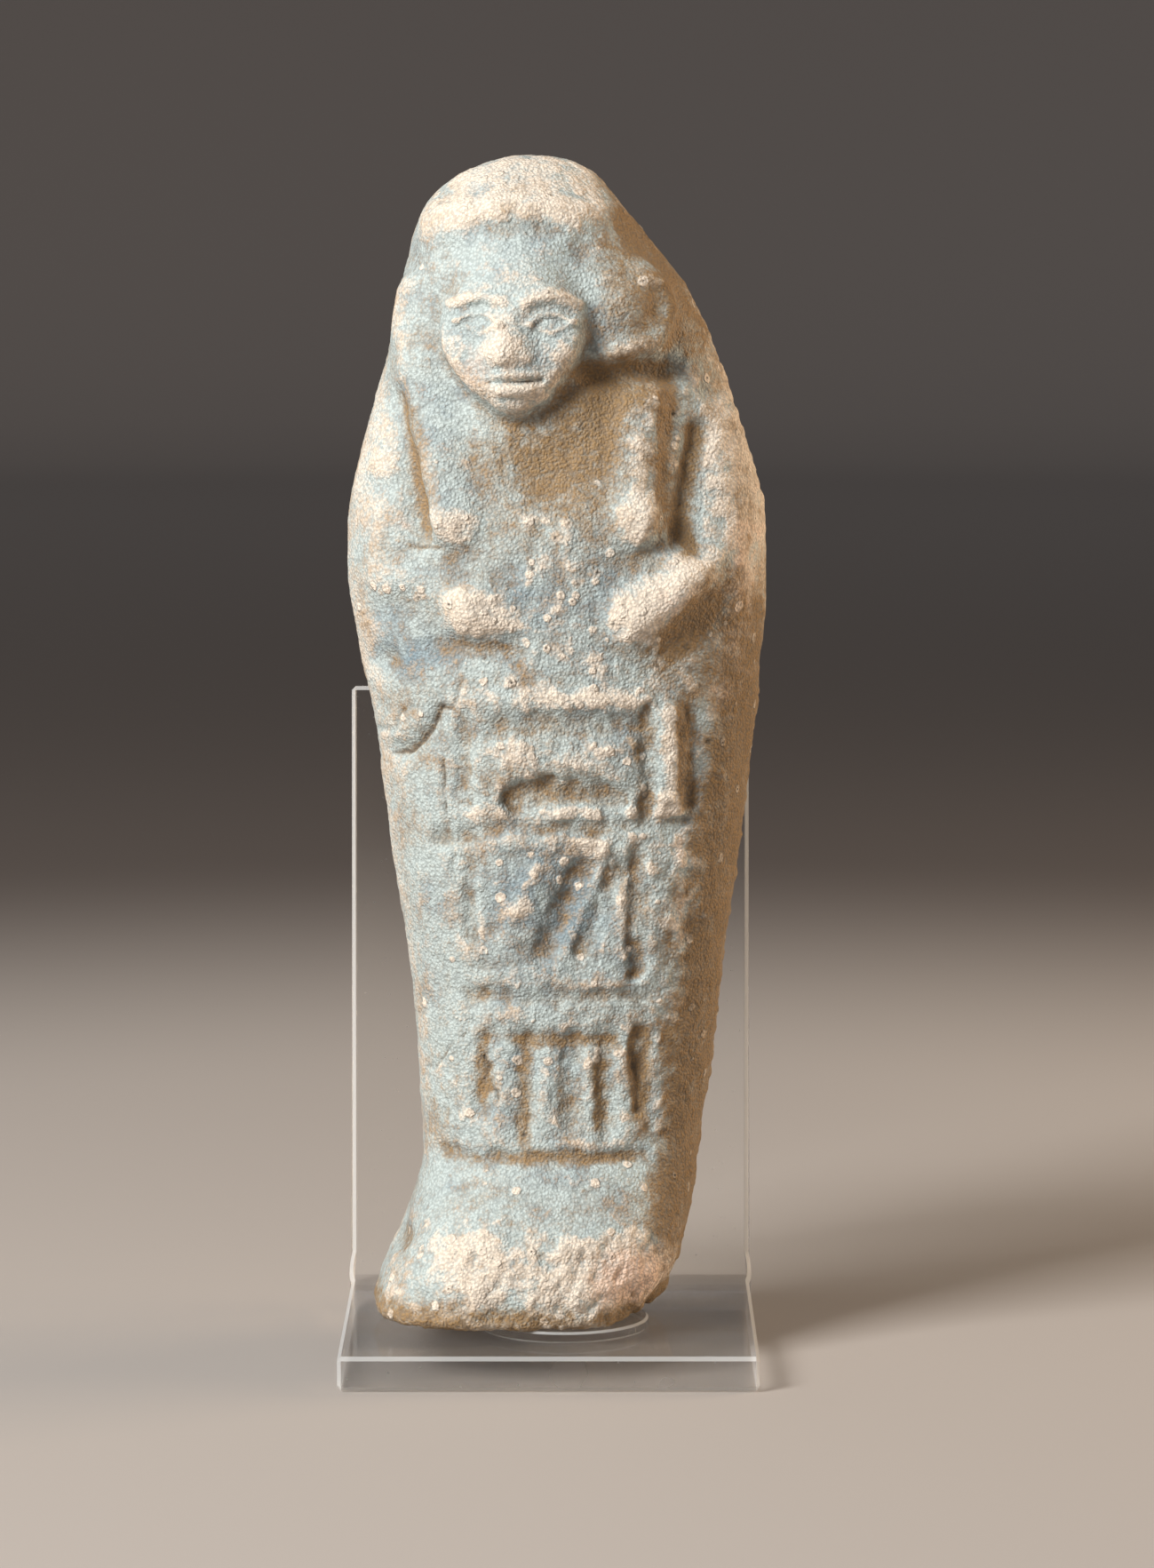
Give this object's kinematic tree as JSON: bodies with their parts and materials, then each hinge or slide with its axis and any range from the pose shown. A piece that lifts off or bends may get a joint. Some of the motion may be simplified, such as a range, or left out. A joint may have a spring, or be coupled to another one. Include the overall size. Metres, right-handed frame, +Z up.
{
  "type": "ushabti figurine",
  "caption": "Small worn pale blue faience ushabti on a clear bent acrylic stand with a round clear pad under its feet.",
  "frame": {"origin": "on the stand's flat underside, in the middle of its width and of its flat foot", "axes": "+Z up, +X to the viewer's right, the figurine looks along -Y"},
  "size_m": [0.0376, 0.0425, 0.1061],
  "materials": {
    "faience": "matte",
    "clear_acrylic": "gloss"
  },
  "bodies": {
    "root": {"ushabti": "faience", "display_stand": "clear_acrylic", "riser_disc": "clear_acrylic"}
  },
  "joints": []
}
